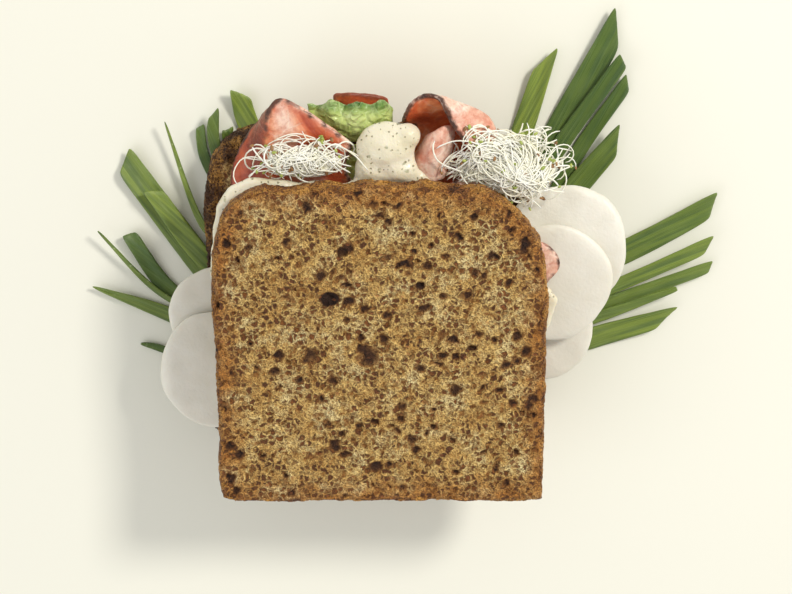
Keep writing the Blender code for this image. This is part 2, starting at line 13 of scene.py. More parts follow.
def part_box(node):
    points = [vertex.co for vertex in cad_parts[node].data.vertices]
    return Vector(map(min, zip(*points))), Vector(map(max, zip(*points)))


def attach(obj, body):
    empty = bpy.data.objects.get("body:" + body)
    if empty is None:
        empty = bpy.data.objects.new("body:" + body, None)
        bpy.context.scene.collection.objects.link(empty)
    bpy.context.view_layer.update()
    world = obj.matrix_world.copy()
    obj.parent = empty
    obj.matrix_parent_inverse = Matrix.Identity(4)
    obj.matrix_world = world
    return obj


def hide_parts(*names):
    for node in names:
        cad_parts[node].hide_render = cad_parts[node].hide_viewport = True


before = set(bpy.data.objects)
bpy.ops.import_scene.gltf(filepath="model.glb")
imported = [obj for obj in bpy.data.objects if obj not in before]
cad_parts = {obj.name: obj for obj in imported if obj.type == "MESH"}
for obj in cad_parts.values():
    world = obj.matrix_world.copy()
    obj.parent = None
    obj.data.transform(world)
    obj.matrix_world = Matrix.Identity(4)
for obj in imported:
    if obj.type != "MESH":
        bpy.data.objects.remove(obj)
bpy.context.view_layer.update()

MM = 0.001
DOWN = Vector((0.0, 0.0, -1.0))
NOISE_SEED = 1  # without it, noise_vector differs from run to run
noise.seed_set(NOISE_SEED)
SANDWICH_MIDDLE = Vector((-0.008, -0.02))  # seen from above, in metres
MERGE_DISTANCE = 0.00001
STRAND_MERGE_DISTANCE = 0.000001

# Camera: the photograph looks down on the sandwich, leaning a little towards the back
LOOK_AT = Vector((-3.3, -13.4, 30.0)) * MM
CAMERA_DISTANCE = 0.9
CAMERA_LEAN = math.radians(15.0)
CAMERA_LENS = 120.0
CAMERA_SENSOR = 36.0

# Room and lights, in metres; each light has its place, width, power and colour
FLOOR_SIZE = 4.0
FLOOR_Z = -0.0002
ROOM_COLOUR = (1.0, 0.985, 0.95, 1.0)
ROOM_STRENGTH = 0.62
LIGHTS = {
    "key": ((0.75, 0.65, 0.95), 0.30, 12.0, (1.0, 0.96, 0.88)),
    "fill": ((-0.9, -0.5, 0.8), 1.2, 4.0, (0.95, 0.97, 1.0)),
}
LIGHT_TARGET = Vector((0.0, 0.0, 0.02))

# Bread, in mm where MM isn't multiplied in
CRUMB_CELL = 0.6 * MM
BREAD_SEEDS = {"bread_top": 1.7, "bread_bottom": 6.1}
# Each size of pore: how far apart they are, the share of places that have one, and its depth
PORE_LAYERS = [(2.3, 0.7, 0.9), (4.6, 0.4, 1.5), (9.0, 0.05, 2.0)]
KNOBS = {"bread_top": 0.9, "bread_bottom": 1.8}  # height of the blisters on the crust
FACE_CRUST = {"bread_top": 2.2, "bread_bottom": 9.0}  # how far the crust reaches over the faces; the bottom slice's wider crust is partly painted shade under the top slice
BROWNER_RIM = 15.0  # how far in from the wall the crumb is still browner

# Mayonnaise
SPREAD_CELL = 0.9 * MM
SPREAD_SMOOTHING = 4

# Leaves and meat: height of the fine ruffle in mm and how close its waves are
RUFFLES = {"beef": (0.5, 0.25), "lettuce": (0.7, 0.5)}
SHEET_EDGE_ANGLE = 55.0
LEAFY_FROM_Y = 0.0485  # where the lettuce turns from its pale rib to its leafy edge, in metres
LEAFY_PER_METRE = 160.0

# Sprouts, in mm
STRAND_RADIUS = 0.28
STRAND_STEP = 1.4
STEEPEST = 0.4  # how much a sprout rises or falls for each mm along it
CORE_SCALE = 0.93  # of the node's radii
WRAP_SCALE = 0.96
WRAPPED = {"sprouts_left": 40, "sprouts_right": 120}  # how many lie round the core
WRAP_STEPS = 12
SEED_SHARE = 0.33  # of the sprouts that end in a seed
LOWEST_BED = 27.0  # the lowest that loose sprouts lie
BELOW_SLICE = 35.4  # just under the top slice
LOW_ENOUGH = 35.2  # a sprout below this height clears the top slice
ABOVE_ALL = 60.0
SLICE_MARGIN = 0.7
# Each tuft: its core's centre and radii, the centre and reach of the patch that its sprouts lie on,
# how high they pile up, the way that most of them point, how many they are and the seed
TUFTS = {
    "sprouts_left": (
        (-34.0, 33.8, 33.6), (13.5, 4.6, 2.6), (-33.0, 33.0), (17.0, 9.0), 1.1, 2.3, 80, 4),
    "sprouts_right": (
        (38.0, 28.5, 31.5), (11.0, 6.5, 4.6), (31.0, 32.0), (21.0, 10.0), 1.7, 0.7, 360, 9),
}

# Meat: a fold's own centre, which its rare red side faces, and a direction that such a side looks
# in; that red is partly the meat's own and partly painted shade, inside the fold and on the flank
# of beef_left
FOLD_CENTRES = {"beef_right": (13.0, 43.0, 29.0)}
RARE_AND_SHADED_SIDES = {"beef_left": (-0.85, -0.3, 0.1), "beef_back": (0.0, 0.5, 0.8)}
# How dark the painted shade on the rare red side is, and how much of the rim is roasted, where they
# aren't 0 and 1
SHADE_DEPTH = {"beef_left": 0.85, "beef_back": 0.35}
ROASTED = {"beef_curl": 0.0, "beef_back": 0.55}

# Leek: 0 is a dark olive blade and 1 a pale green one; each blade's tone is partly its own colour
# and partly painted light and shade, sunlit blades pale and shaded ones dark
DARK_BLADE = 0.12
BLADE_TONES = {
    "leek_right_1": 0.85, "leek_right_5": 0.35, "leek_right_6": 0.4, "leek_right_7": 0.65,
    "leek_right_8": 0.5, "leek_right_9": 0.45, "leek_right_10": 0.7, "leek_left_1": 0.6,
    "leek_left_2": 0.8, "leek_left_3": 0.75, "leek_left_5": 0.3, "leek_left_6": 0.5,
    "leek_left_7": 0.9, "leek_left_8": 0.45, "leek_left_10": 0.6,
}
BLADE_EDGE_ANGLE = 60.0


# Shader helpers

def new_material(name):
    material = bpy.data.materials.new(name)
    material.use_nodes = True
    tree = material.node_tree
    return material, tree, tree.nodes["Principled BSDF"]


def add_node(tree, kind, **settings):
    node = tree.nodes.new(kind)
    for key, value in settings.items():
        if key in node.inputs:
            node.inputs[key].default_value = value
        else:
            setattr(node, key, value)
    return node


def feed(tree, socket, value):
    """Links the socket to the value where that is a socket too, and otherwise sets it."""
    if isinstance(value, bpy.types.NodeSocket):
        tree.links.new(value, socket)
    else:
        socket.default_value = value


def object_coordinates(tree):
    return add_node(tree, "ShaderNodeTexCoord").outputs["Object"]


def attribute(tree, name):
    return add_node(tree, "ShaderNodeAttribute", attribute_name=name).outputs["Fac"]


def mapping(tree, vector, scale):
    node = add_node(tree, "ShaderNodeMapping")
    node.inputs["Scale"].default_value = scale
    tree.links.new(vector, node.inputs["Vector"])
    return node.outputs["Vector"]


def noise_texture(tree, vector, scale, detail, roughness=0.55, distortion=0.0):
    node = add_node(
        tree, "ShaderNodeTexNoise", Scale=scale, Detail=detail, Roughness=roughness,
        Distortion=distortion)
    tree.links.new(vector, node.inputs["Vector"])
    return node.outputs["Fac"]


def voronoi_texture(tree, vector, scale, feature="F1"):
    node = add_node(tree, "ShaderNodeTexVoronoi", feature=feature, Scale=scale)
    tree.links.new(vector, node.inputs["Vector"])
    return node


def ramp(tree, value, stops, interpolation="LINEAR"):
    """A colour ramp: stops are (position, colour) and a colour may be one grey number."""
    node = add_node(tree, "ShaderNodeValToRGB")
    node.color_ramp.interpolation = interpolation
    elements = node.color_ramp.elements
    while len(elements) > len(stops):
        elements.remove(elements[-1])
    while len(elements) < len(stops):
        elements.new(1.0)
    for element, (position, colour) in zip(elements, stops):
        element.position = position
        grey = isinstance(colour, (int, float))
        element.color = (colour, colour, colour, 1.0) if grey else (*colour, 1.0)
    tree.links.new(value, node.inputs["Fac"])
    return node.outputs["Color"]


def mix(tree, factor, first, second):
    """The first colour where the factor is 0 and the second where it is 1."""
    node = add_node(tree, "ShaderNodeMix", data_type="RGBA")
    sockets = [socket for socket in node.inputs if socket.enabled]
    feed(tree, sockets[0], factor)
    for socket, colour in zip(sockets[1:], (first, second)):
        feed(tree, socket, (*colour, 1.0) if isinstance(colour, tuple) else colour)
    return next(socket for socket in node.outputs if socket.enabled)


def maths(tree, operation, first, second):
    node = add_node(tree, "ShaderNodeMath", operation=operation)
    for socket, value in zip(node.inputs, (first, second)):
        feed(tree, socket, value)
    return node.outputs[0]


def times(tree, first, second):
    return maths(tree, "MULTIPLY", first, second)


def plus(tree, first, second):
    return maths(tree, "ADD", first, second)


def centred(tree, value, amount):
    """A texture value about 0 instead of 0.5, times the amount."""
    return times(tree, maths(tree, "SUBTRACT", value, 0.5), amount)


def bump(tree, shader, height, distance, strength):
    node = add_node(tree, "ShaderNodeBump", Strength=strength, Distance=distance)
    tree.links.new(height, node.inputs["Height"])
    tree.links.new(node.outputs["Normal"], shader.inputs["Normal"])


def paint(tree, shader, colour, roughness):
    """Gives the shader a colour, and a roughness that varies or is the same all over."""
    feed(tree, shader.inputs["Base Color"], colour)
    feed(tree, shader.inputs["Roughness"], roughness)


def soften(shader, weight, radius, scale):
    """Lets some light through the surface, as moist food does."""
    shader.inputs["Subsurface Weight"].default_value = weight
    shader.inputs["Subsurface Radius"].default_value = radius
    shader.inputs["Subsurface Scale"].default_value = scale


# Effects that several materials share, each a node group

def new_group(name, inputs, output):
    """An empty group with its end nodes; inputs and output are pairs of name and kind of socket."""
    group = bpy.data.node_groups.new(name, "ShaderNodeTree")
    for label, kind in inputs:
        group.interface.new_socket(label, in_out="INPUT", socket_type="NodeSocket" + kind)
    group.interface.new_socket(output[0], in_out="OUTPUT", socket_type="NodeSocket" + output[1])
    start = add_node(group, "NodeGroupInput")
    end = add_node(group, "NodeGroupOutput")
    return group, start.outputs, end.inputs[0]


def use_group(tree, name, **values):
    node = add_node(tree, "ShaderNodeGroup")
    node.node_tree = bpy.data.node_groups[name]
    for label, value in values.items():
        feed(tree, node.inputs[label], value)
    return node.outputs[0]


def faded(tree, value, full, gone):
    """1 up to the value full, falling evenly to 0 at the value gone."""
    node = add_node(tree, "ShaderNodeMapRange")
    node.inputs["To Min"].default_value = 1.0
    node.inputs["To Max"].default_value = 0.0
    tree.links.new(value, node.inputs["Value"])
    tree.links.new(full, node.inputs["From Min"])
    tree.links.new(gone, node.inputs["From Max"])
    return node.outputs["Result"]


def make_groups():
    """Coordinates pushed about as if grown, a mask along a cut edge and a mask of loose flecks."""
    group, given, result = new_group(
        "grown_warp", [("Vector", "Vector"), ("Scale", "Float"), ("Amount", "Float")],
        ("Vector", "Vector"))
    cloud = add_node(group, "ShaderNodeTexNoise", Detail=2.0)
    shift = add_node(group, "ShaderNodeVectorMath", operation="MULTIPLY_ADD")
    group.links.new(given["Vector"], cloud.inputs["Vector"])
    group.links.new(given["Scale"], cloud.inputs["Scale"])
    group.links.new(cloud.outputs["Color"], shift.inputs[0])
    group.links.new(given["Amount"], shift.inputs[1])
    group.links.new(given["Vector"], shift.inputs[2])
    group.links.new(shift.outputs["Vector"], result)

    group, given, result = new_group(
        "edge_band", [("Distance", "Float"), ("Full", "Float"), ("Gone", "Float")],
        ("Mask", "Float"))
    group.links.new(faded(group, given["Distance"], given["Full"], given["Gone"]), result)

    group, given, result = new_group(
        "loose_flecks",
        [("Vector", "Vector"), ("Scale", "Float"), ("Size", "Float"), ("Share", "Float")],
        ("Mask", "Float"))
    cells = add_node(group, "ShaderNodeTexVoronoi")
    group.links.new(given["Vector"], cells.inputs["Vector"])
    group.links.new(given["Scale"], cells.inputs["Scale"])
    disc = faded(group, cells.outputs["Distance"], given["Size"], times(group, given["Size"], 1.7))
    red = add_node(group, "ShaderNodeSeparateColor")
    group.links.new(cells.outputs["Color"], red.inputs["Color"])
    chosen = maths(group, "LESS_THAN", red.outputs["Red"], given["Share"])
    group.links.new(times(group, disc, chosen), result)


# Materials

def bread_material():
    """Wholemeal crumb with open cells painted dark as shade, bran, browner near the rim, and a
    baked crust.
    """
    material, tree, shader = new_material("wholemeal_bread")
    place = object_coordinates(tree)
    bent = use_group(tree, "grown_warp", Vector=place, Scale=560.0, Amount=2.1 * MM)
    cavity = attribute(tree, "cavity")
    crust = attribute(tree, "crust")
    grain = noise_texture(tree, place, 900.0, 4.0, 0.75)
    patches = noise_texture(tree, place, 110.0, 5.0, 0.65)

    wall = voronoi_texture(tree, bent, 480.0, "DISTANCE_TO_EDGE").outputs["Distance"]
    chosen = voronoi_texture(tree, bent, 480.0).outputs["Color"]
    open_cell = ramp(tree, chosen, [(0.38, 0.15), (0.6, 1.0)])
    pit = times(tree, ramp(tree, wall, [(0.07, 0.0), (0.24, 1.0)]), open_cell)
    fine_wall = voronoi_texture(tree, bent, 1050.0, "DISTANCE_TO_EDGE").outputs["Distance"]
    fine_pit = ramp(tree, fine_wall, [(0.07, 0.0), (0.28, 1.0)])

    crumb = ramp(tree, patches, [
        (0.34, (0.70, 0.40, 0.105)), (0.5, (0.90, 0.61, 0.205)), (0.66, (1.0, 0.83, 0.41))])
    ragged_in = plus(tree, attribute(tree, "inside"), centred(tree, patches, 1.2))
    browner = ramp(tree, ragged_in, [(0.1, 0.9), (0.75, 0.0)])
    crumb = mix(tree, browner, crumb, (0.58, 0.225, 0.036))
    # painted shade: the middles of the fine and open cells are painted darker, as shade in the
    # crumb's pores
    crumb = mix(tree, times(tree, fine_pit, 0.7), crumb, (0.43, 0.175, 0.034))
    pit_colour = ramp(tree, patches, [(0.4, (0.12, 0.038, 0.008)), (0.6, (0.28, 0.095, 0.018))])
    crumb = mix(tree, pit, crumb, pit_colour)
    dark_grain = ramp(tree, grain, [(0.38, 0.7), (0.49, 0.0)])
    crumb = mix(tree, dark_grain, crumb, (0.13, 0.043, 0.010))
    # painted shade: the dents and cut pores get darker, down to near black, the deeper they are
    hollow = ramp(tree, cavity, [(0.12, 0.0), (0.35, 0.7), (0.9, 1.0)])
    depths = ramp(tree, cavity, [
        (0.35, (0.36, 0.135, 0.026)), (0.7, (0.14, 0.048, 0.012)), (1.0, (0.040, 0.014, 0.006))])
    crumb = mix(tree, hollow, crumb, depths)
    long_way = mapping(tree, place, (1.0, 1.6, 0.8))
    bran = use_group(tree, "loose_flecks", Vector=long_way, Scale=200.0, Size=0.11, Share=0.8)
    crumb = mix(tree, times(tree, bran, 0.5), crumb, (0.46, 0.15, 0.045))

    heat = noise_texture(tree, place, 120.0, 6.0, 0.75)
    toasting = plus(tree, heat, times(tree, fine_pit, -0.12))
    baked = ramp(tree, toasting, [
        (0.28, (0.060, 0.019, 0.005)), (0.42, (0.30, 0.100, 0.016)), (0.58, (0.74, 0.37, 0.075))])
    uneven = ramp(tree, toasting, [(0.46, 0.9), (0.6, 0.25)])
    # partly painted shade: the bottom slice, under the top one, is darker all over its crust,
    # besides its darker toasting
    dark_share = times(tree, attribute(tree, "toast_and_shade"), uneven)
    baked = mix(tree, dark_share, baked, (0.060, 0.021, 0.007))
    edge = plus(tree, crust, centred(tree, grain, 1.2))
    colour = mix(tree, ramp(tree, edge, [(0.25, 0.0), (0.9, 1.0)]), crumb, baked)

    paint(tree, shader, colour, ramp(tree, crust, [(0.0, 0.85), (1.0, 0.5)]))
    depth = plus(tree, pit, times(tree, fine_pit, 0.5))
    height = maths(tree, "SUBTRACT", times(tree, grain, 0.5), depth)
    bump(tree, shader, height, 1.7 * MM, 1.0)
    return material


def cheese_material():
    """Moist and white, with a fine skin."""
    material, tree, shader = new_material("soft_white_cheese")
    place = object_coordinates(tree)
    cloud = noise_texture(tree, place, 55.0, 4.0)
    colour = ramp(tree, cloud, [(0.3, (0.72, 0.69, 0.60)), (0.7, (0.82, 0.80, 0.73))])
    paint(tree, shader, colour, ramp(tree, cloud, [(0.3, 0.32), (0.7, 0.48)]))
    soften(shader, 0.3, (1.0, 0.85, 0.7), 2.0 * MM)
    dimples = noise_texture(tree, place, 160.0, 4.0)
    skin = plus(tree, dimples, noise_texture(tree, place, 900.0, 2.0))
    bump(tree, shader, skin, 0.25 * MM, 0.5)
    return material


def leek_material():
    """Waxy leaf with veins along the blade and a pale edge, in a tone of its own for each blade
    that is partly painted light and shade.
    """
    material, tree, shader = new_material("leek_leaf")
    along = add_node(tree, "ShaderNodeUVMap", uv_map="blade").outputs["UV"]
    veins = noise_texture(tree, mapping(tree, along, (11.0, 0.04, 1.0)), 1.0, 3.0, 0.6)
    broad = noise_texture(tree, mapping(tree, along, (0.55, 0.025, 1.0)), 1.0, 2.0)
    cloud = noise_texture(tree, object_coordinates(tree), 60.0, 2.0)
    # partly painted light and shade: the tone runs from a shaded dark olive to a sunlit pale green
    colour = mix(tree, attribute(tree, "tone"), (0.060, 0.120, 0.016), (0.31, 0.40, 0.060))
    shades = [
        (broad, [(0.42, 0.0), (0.62, 0.6)], (0.040, 0.095, 0.030)),
        (cloud, [(0.45, 0.0), (0.75, 0.45)], (0.24, 0.33, 0.075)),
        (veins, [(0.35, 0.4), (0.5, 0.0)], (0.030, 0.075, 0.012)),
        (veins, [(0.52, 0.0), (0.75, 0.35)], (0.33, 0.44, 0.16)),
    ]
    for texture, stops, shade in shades:
        colour = mix(tree, ramp(tree, texture, stops), colour, shade)
    rim = use_group(tree, "edge_band", Distance=attribute(tree, "edge"), Full=0.1, Gone=0.5)
    colour = mix(tree, times(tree, rim, 0.75), colour, (0.50, 0.58, 0.33))
    paint(tree, shader, colour, ramp(tree, veins, [(0.3, 0.24), (0.7, 0.36)]))
    soften(shader, 0.06, (0.4, 1.0, 0.2), 0.8 * MM)
    bump(tree, shader, plus(tree, veins, broad), 0.3 * MM, 0.7)
    return material


def beef_material():
    """Roast meat: a rare red side that is partly painted shade, a paler other side, marbling and a
    dark roasted rim.
    """
    material, tree, shader = new_material("roast_beef")
    place = object_coordinates(tree)
    rare_and_shaded = attribute(tree, "rare_and_shaded")
    fibre = noise_texture(tree, place, 420.0, 5.0, 0.65, 0.6)
    cloud = noise_texture(tree, place, 75.0, 4.0, 0.6, 0.8)
    rare_and_shaded_red = ramp(tree, cloud, [
        (0.34, (0.40, 0.045, 0.016)), (0.52, (0.72, 0.15, 0.045)), (0.7, (0.90, 0.38, 0.17))])
    pale = ramp(tree, cloud, [
        (0.30, (0.66, 0.24, 0.155)), (0.46, (0.82, 0.51, 0.39)), (0.62, (0.92, 0.73, 0.62))])
    # painted shade: the attribute deep turns the red side nearly black-red
    rare_and_shaded_red = mix(tree, attribute(tree, "deep"), rare_and_shaded_red, (0.115, 0.014, 0.007))
    # partly painted shade: the red side is the inside of a fold and the left flank of beef_left
    meat = mix(tree, rare_and_shaded, pale, rare_and_shaded_red)
    meat = mix(tree, ramp(tree, fibre, [(0.36, 0.5), (0.56, 0.0)]), meat, (0.50, 0.10, 0.045))

    bent = use_group(tree, "grown_warp", Vector=place, Scale=200.0, Amount=3.0 * MM)
    fat = voronoi_texture(tree, bent, 130.0, "DISTANCE_TO_EDGE").outputs["Distance"]
    veins = ramp(tree, fat, [(0.0, 1.0), (0.06, 0.0)])
    marbling = times(tree, veins, ramp(tree, cloud, [(0.46, 0.0), (0.62, 0.7)]))
    marbling = times(tree, marbling, ramp(tree, rare_and_shaded, [(0.0, 1.0), (1.0, 0.25)]))
    meat = mix(tree, marbling, meat, (0.90, 0.74, 0.62))

    ragged = times(tree, noise_texture(tree, place, 230.0, 4.0, 0.6), 2.6)
    rough_edge = plus(tree, attribute(tree, "edge"), ragged)
    rim = use_group(tree, "edge_band", Distance=rough_edge, Full=2.2, Gone=3.1)
    rim = times(tree, rim, attribute(tree, "roasted"))
    char = noise_texture(tree, place, 600.0, 3.0)
    roast = ramp(tree, char, [(0.3, (0.028, 0.010, 0.007)), (0.7, (0.15, 0.050, 0.026))])
    colour = mix(tree, rim, meat, roast)

    paint(tree, shader, colour, ramp(tree, fibre, [(0.3, 0.28), (0.7, 0.48)]))
    soften(shader, 0.12, (1.0, 0.35, 0.2), 1.2 * MM)
    bump(tree, shader, plus(tree, fibre, times(tree, cloud, 1.2)), 0.5 * MM, 0.9)
    return material


def lettuce_material():
    """Crisp leaf: lime green towards the rib, darker and blistered towards the frilled edge."""
    material, tree, shader = new_material("lettuce_leaf")
    place = object_coordinates(tree)
    bent = use_group(tree, "grown_warp", Vector=place, Scale=260.0, Amount=3.0 * MM)
    cloud = noise_texture(tree, place, 150.0, 4.0, 0.6, 0.6)
    split = add_node(tree, "ShaderNodeSeparateXYZ")
    tree.links.new(place, split.inputs["Vector"])
    beyond = maths(tree, "SUBTRACT", split.outputs["Y"], LEAFY_FROM_Y)
    back = plus(tree, times(tree, beyond, LEAFY_PER_METRE), maths(tree, "SUBTRACT", cloud, 0.5))
    leafy = ramp(tree, cloud, [
        (0.36, (0.055, 0.135, 0.024)), (0.5, (0.19, 0.32, 0.075)), (0.66, (0.52, 0.62, 0.28))])
    rib = ramp(tree, cloud, [(0.3, (0.42, 0.54, 0.12)), (0.7, (0.66, 0.74, 0.30))])
    colour = mix(tree, ramp(tree, back, [(0.1, 0.0), (0.6, 1.0)]), rib, leafy)
    web = voronoi_texture(tree, bent, 240.0, "DISTANCE_TO_EDGE").outputs["Distance"]
    colour = mix(tree, ramp(tree, web, [(0.0, 0.35), (0.08, 0.0)]), colour, (0.50, 0.64, 0.28))
    pale_edge = use_group(tree, "edge_band", Distance=attribute(tree, "edge"), Full=0.1, Gone=0.6)
    colour = mix(tree, times(tree, pale_edge, 0.6), colour, (0.42, 0.56, 0.24))
    paint(tree, shader, colour, 0.33)
    soften(shader, 0.10, (0.5, 1.0, 0.25), 1.0 * MM)
    blister = ramp(tree, web, [(0.0, 0.0), (0.35, 1.0)], "EASE")
    bump(tree, shader, plus(tree, blister, cloud), 0.8 * MM, 0.8)
    return material


def mayonnaise_material():
    """Glossy cream with chopped herbs and fine dark specks."""
    material, tree, shader = new_material("herb_mayonnaise")
    place = object_coordinates(tree)
    cloud = noise_texture(tree, place, 90.0, 3.0)
    colour = ramp(tree, cloud, [(0.3, (0.74, 0.68, 0.49)), (0.7, (0.87, 0.83, 0.70))])
    tall = mapping(tree, place, (1.0, 1.0, 0.5))
    tall = use_group(tree, "grown_warp", Vector=tall, Scale=900.0, Amount=1.1 * MM)
    specks = use_group(tree, "loose_flecks", Vector=tall, Scale=700.0, Size=0.18, Share=0.5)
    leaves = use_group(tree, "loose_flecks", Vector=tall, Scale=330.0, Size=0.17, Share=0.35)
    colour = mix(tree, times(tree, leaves, 0.7), colour, (0.30, 0.30, 0.16))
    colour = mix(tree, times(tree, specks, 0.85), colour, (0.20, 0.17, 0.075))
    paint(tree, shader, colour, 0.3)
    soften(shader, 0.3, (1.0, 0.8, 0.5), 1.5 * MM)
    bump(tree, shader, noise_texture(tree, place, 150.0, 4.0, 0.6), 1.2 * MM, 0.8)
    return material


def sprout_material(name, colours, roughness):
    """Moist and a little translucent, clouded between the colours."""
    material, tree, shader = new_material(name)
    cloud = noise_texture(tree, object_coordinates(tree), 240.0, 2.0)
    paint(tree, shader, ramp(tree, cloud, colours), roughness)
    soften(shader, 0.2, (1.0, 0.95, 0.7), 0.6 * MM)
    return material


def floor_material():
    material, tree, shader = new_material("plain_floor")
    paint(tree, shader, (0.86, 0.855, 0.765, 1.0), 0.9)
    return material


# Geometry helpers

def smoothstep(low, high, value):
    t = min(max((value - low) / (high - low), 0.0), 1.0)
    return t * t * (3.0 - 2.0 * t)


def merged_copy(node):
    """The CAD node's mesh as a bmesh, its loose triangles joined."""
    bm = bmesh.new()
    bm.from_mesh(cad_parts[node].data)
    bmesh.ops.remove_doubles(bm, verts=bm.verts, dist=MERGE_DISTANCE)
    return bm


def mesh_from(bm, name):
    """The bmesh as a mesh; the bmesh is freed."""
    mesh = bpy.data.meshes.new(name)
    bm.to_mesh(mesh)
    bm.free()
    return mesh


def place_object(name, data):
    item = bpy.data.objects.new(name, data)
    bpy.context.scene.collection.objects.link(item)
    return item


def add_piece(name, bm, material, node):
    """Makes the bmesh a piece that rides on the sandwich and stands for the node, if any."""
    mesh = mesh_from(bm, name)
    mesh.shade_smooth()
    mesh.materials.append(material)
    piece = place_object(name, mesh)
    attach(piece, "root")
    if node:
        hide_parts(node)
    return piece


def write_attribute(mesh, name, values):
    layer = mesh.attributes.new(name, "FLOAT", "POINT")
    layer.data.foreach_set("value", values)


def subdivided(bm, levels, name):
    """The bmesh after Catmull-Clark smoothing, as a bmesh of its own."""
    holder = place_object(name, mesh_from(bm, name))
    rounding = holder.modifiers.new("rounding", "SUBSURF")
    rounding.levels = levels
    rounding.render_levels = levels
    return evaluated(holder)


def evaluated(holder):
    """The object's mesh with its modifiers applied, as a bmesh; the object is removed."""
    graph = bpy.context.evaluated_depsgraph_get()
    bm = bmesh.new()
    bm.from_mesh(holder.evaluated_get(graph).to_mesh())
    bpy.data.objects.remove(holder, do_unlink=True)
    return bm


def remeshed(bm, cell, name):
    """The bmesh rebuilt from even cells, as a bmesh of its own."""
    holder = place_object(name, mesh_from(bm, name))
    grid = holder.modifiers.new("grid", "REMESH")
    grid.mode = "VOXEL"
    grid.voxel_size = cell
    return evaluated(holder)


def sharp_points(bm, degrees):
    """The points on the sheet's cut edge, where its faces meet at more than the angle."""
    limit = math.radians(degrees)
    points = []
    for edge in bm.edges:
        if len(edge.link_faces) == 2 and edge.calc_face_angle(0.0) > limit:
            points.append((edge.verts[0].co + edge.verts[1].co) / 2)
            points.extend(vert.co.copy() for vert in edge.verts)
    return points


def edge_distances(points, verts):
    """How far each vertex lies from the nearest of the points, in mm."""
    tree = KDTree(len(points))
    for number, point in enumerate(points):
        tree.insert(point, number)
    tree.balance()
    return [tree.find(vert.co)[2] / MM for vert in verts]


# Bread

def pore_depth(place, scale, density, seed):
    """1 in the middle of a pore and 0 between pores, for a place in mm."""
    warp = noise.noise_vector(place * 0.4) + noise.noise_vector(place * 1.1) * 0.45
    spot = (place + warp) / scale + Vector((seed, 2 * seed, -seed))
    distances, centres = noise.voronoi(spot)
    if abs(noise.cell(centres[0] * 13.7)) > density:
        return 0.0
    size = 0.26 + 0.26 * abs(noise.cell(centres[0] * 7.1 + Vector((5.0, 0.0, 0.0))))
    return 1.0 - smoothstep(size * 0.5, size * 1.2, distances[0])


def wall_distances(bm, low, high):
    """How far each vertex lies inside the slice's rim, seen from above, in mm."""
    middle = (low.z + high.z) / 2
    wall = [
        vert for vert in bm.verts
        if abs(vert.normal.z) < 0.4 and abs(vert.co.z - middle) < 1.5 * MM
    ]
    tree = KDTree(len(wall))
    for number, vert in enumerate(wall):
        tree.insert((vert.co.x, vert.co.y, 0.0), number)
    tree.balance()
    return [tree.find((vert.co.x, vert.co.y, 0.0))[2] / MM for vert in bm.verts]


def make_bread(node, material):
    """The slice with an open crumb: pores of three sizes in both faces and a blistered crust."""
    seed = BREAD_SEEDS[node]
    low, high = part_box(node)
    bm = remeshed(merged_copy(node), CRUMB_CELL, node + "_grid")
    bm.normal_update()
    inside = wall_distances(bm, low, high)
    cavities = []
    crusts = []
    for vert, depth_in in zip(bm.verts, inside):
        place = vert.co / MM
        sunk = min(vert.co.z - low.z, high.z - vert.co.z) / MM
        width = FACE_CRUST[node] * (0.8 + 0.7 * noise.fractal(place * 0.13, 1.0, 2.0, 3))
        crust = 1.0 - smoothstep(0.5 * width, 1.2 * width, depth_in)
        open_crumb = 1.0 - 0.55 * crust
        pores = [
            pore_depth(place, scale, density, seed + scale)
            for scale, density, _ in PORE_LAYERS
        ]
        drop = max(pore * deep for pore, (_, _, deep) in zip(pores, PORE_LAYERS))
        rough = noise.fractal(place * 0.8, 0.9, 2.0, 4)
        blister = noise.fractal(place * 0.3 + Vector((seed, 0.0, 0.0)), 1.0, 2.0, 4)
        move = open_crumb * (drop + 0.35 * abs(rough)) + crust * KNOBS[node] * abs(blister) + 0.1
        in_face = abs(vert.normal.z) > 0.15 or depth_in > 3.0
        cut_pore = smoothstep(0.35, 1.3, sunk) * (1.0 - crust) if in_face else 0.0
        dented = open_crumb * (0.45 * pores[0] + 0.9 * max(pores[1:]))
        # cavity marks the dents and cut pores for the painted shade in the material
        cavities.append(min(max(dented, cut_pore), 1.0))
        crusts.append(crust)
        vert.co -= vert.normal * (move * MM)
    piece = add_piece(node + "_baked", bm, material, node)
    write_attribute(piece.data, "cavity", cavities)
    write_attribute(piece.data, "crust", crusts)
    write_attribute(piece.data, "inside", [depth_in / BROWNER_RIM for depth_in in inside])
    # painted shade and darker toasting on the bottom slice
    write_attribute(piece.data, "toast_and_shade", [1.0 if node == "bread_bottom" else 0.0] * len(inside))


# Cheese, leaves and meat

def make_cheese(node, material):
    bm = subdivided(merged_copy(node), 2, node + "_soft")
    bm.normal_update()
    for vert in bm.verts:
        dent = noise.noise(vert.co / MM * 0.13) * 0.35 + noise.noise(vert.co / MM * 0.4) * 0.08
        vert.co += vert.normal * (dent - 0.2) * MM
    add_piece(node + "_slice", bm, material, node)


def blade_axis(bm):
    """Start and direction of the blade's longest way across the ground."""
    flat = [Vector((vert.co.x, vert.co.y)) for vert in bm.verts]
    inner = min(flat, key=lambda p: (p - SANDWICH_MIDDLE).length)
    outer = max(flat, key=lambda p: (p - inner).length)
    return inner, (outer - inner).normalized()


